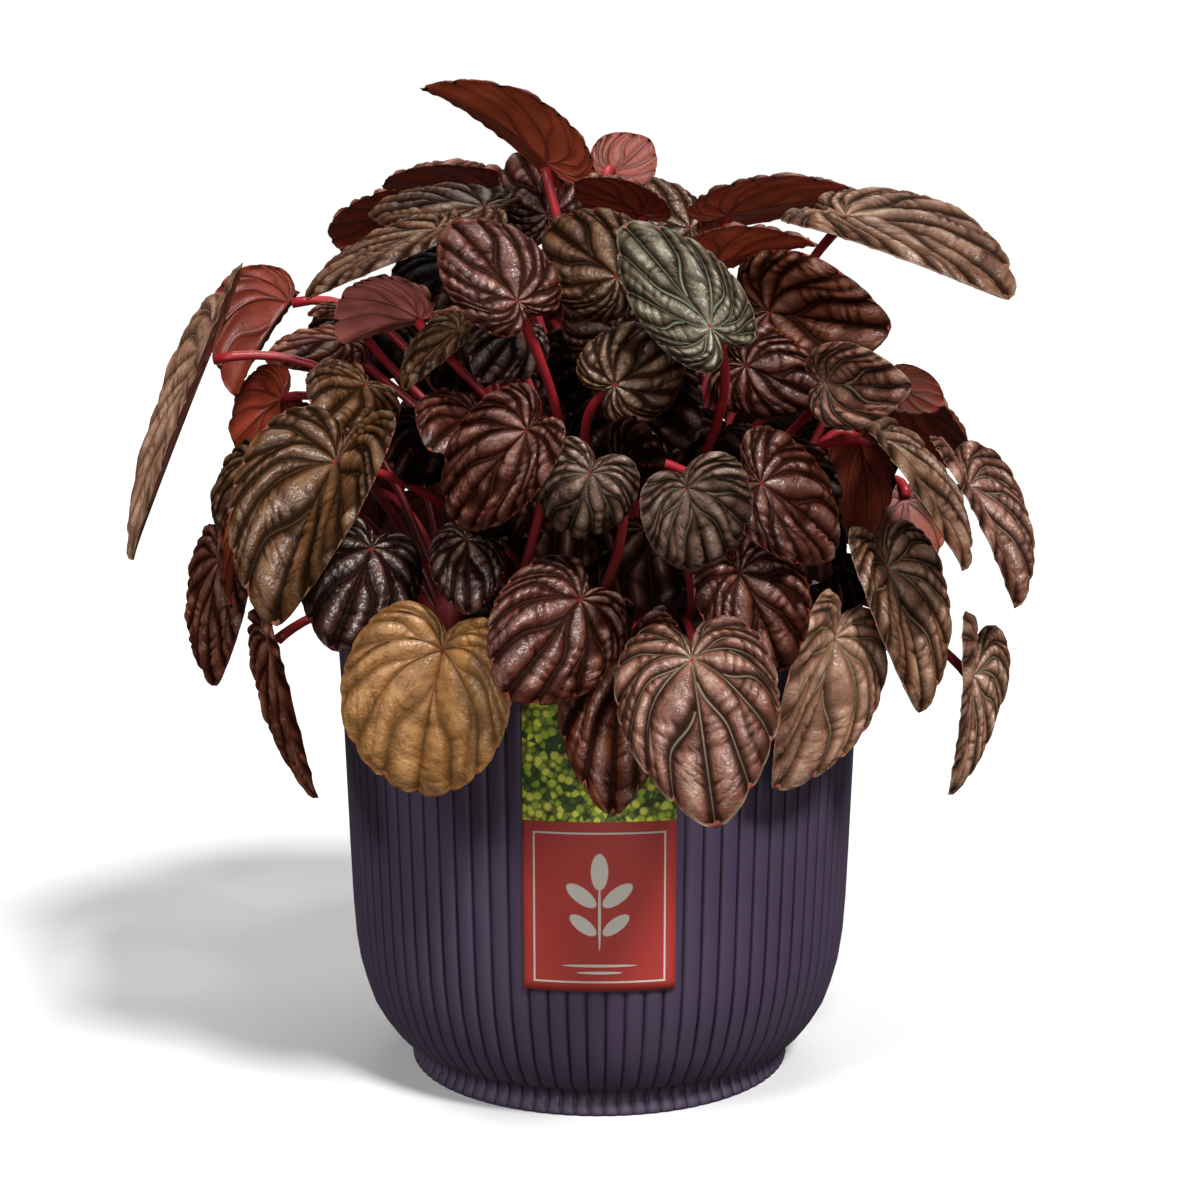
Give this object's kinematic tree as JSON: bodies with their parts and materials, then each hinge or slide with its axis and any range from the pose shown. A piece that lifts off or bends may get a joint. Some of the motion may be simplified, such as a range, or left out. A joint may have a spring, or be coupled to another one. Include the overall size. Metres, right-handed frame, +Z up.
{
  "type": "potted ripple peperomia",
  "caption": "Bushy houseplant with dark quilted heart-shaped leaves on red stalks, growing in a round finely fluted plastic pot with an upright paper label.",
  "frame": {"origin": "middle of the pot's flat base, where it rests on the floor", "axes": "+Z up along the pot's axis; -Y is the front, where the label is; +X is to the right when the label faces the viewer"},
  "size_m": [0.2316, 0.2206, 0.2597],
  "materials": {
    "pot_plastic": "satin, dark aubergine",
    "soil": "rough, dark brown",
    "label_card": "semi-gloss print",
    "leaf": "glossy, quilted, dark maroon"
  },
  "bodies": {
    "root": {"pot": "pot_plastic", "potting_soil": "soil", "label": "label_card", "leafy_crown_01": "leaf", "leafy_crown_02": "leaf", "leafy_crown_03": "leaf", "leafy_crown_04": "leaf", "leafy_crown_05": "leaf", "leafy_crown_06": "leaf", "leafy_crown_07": "leaf", "leafy_crown_08": "leaf", "leafy_crown_09": "leaf", "leafy_crown_10": "leaf", "leafy_crown_11": "leaf", "leafy_crown_12": "leaf", "leafy_crown_13": "leaf"}
  },
  "joints": []
}
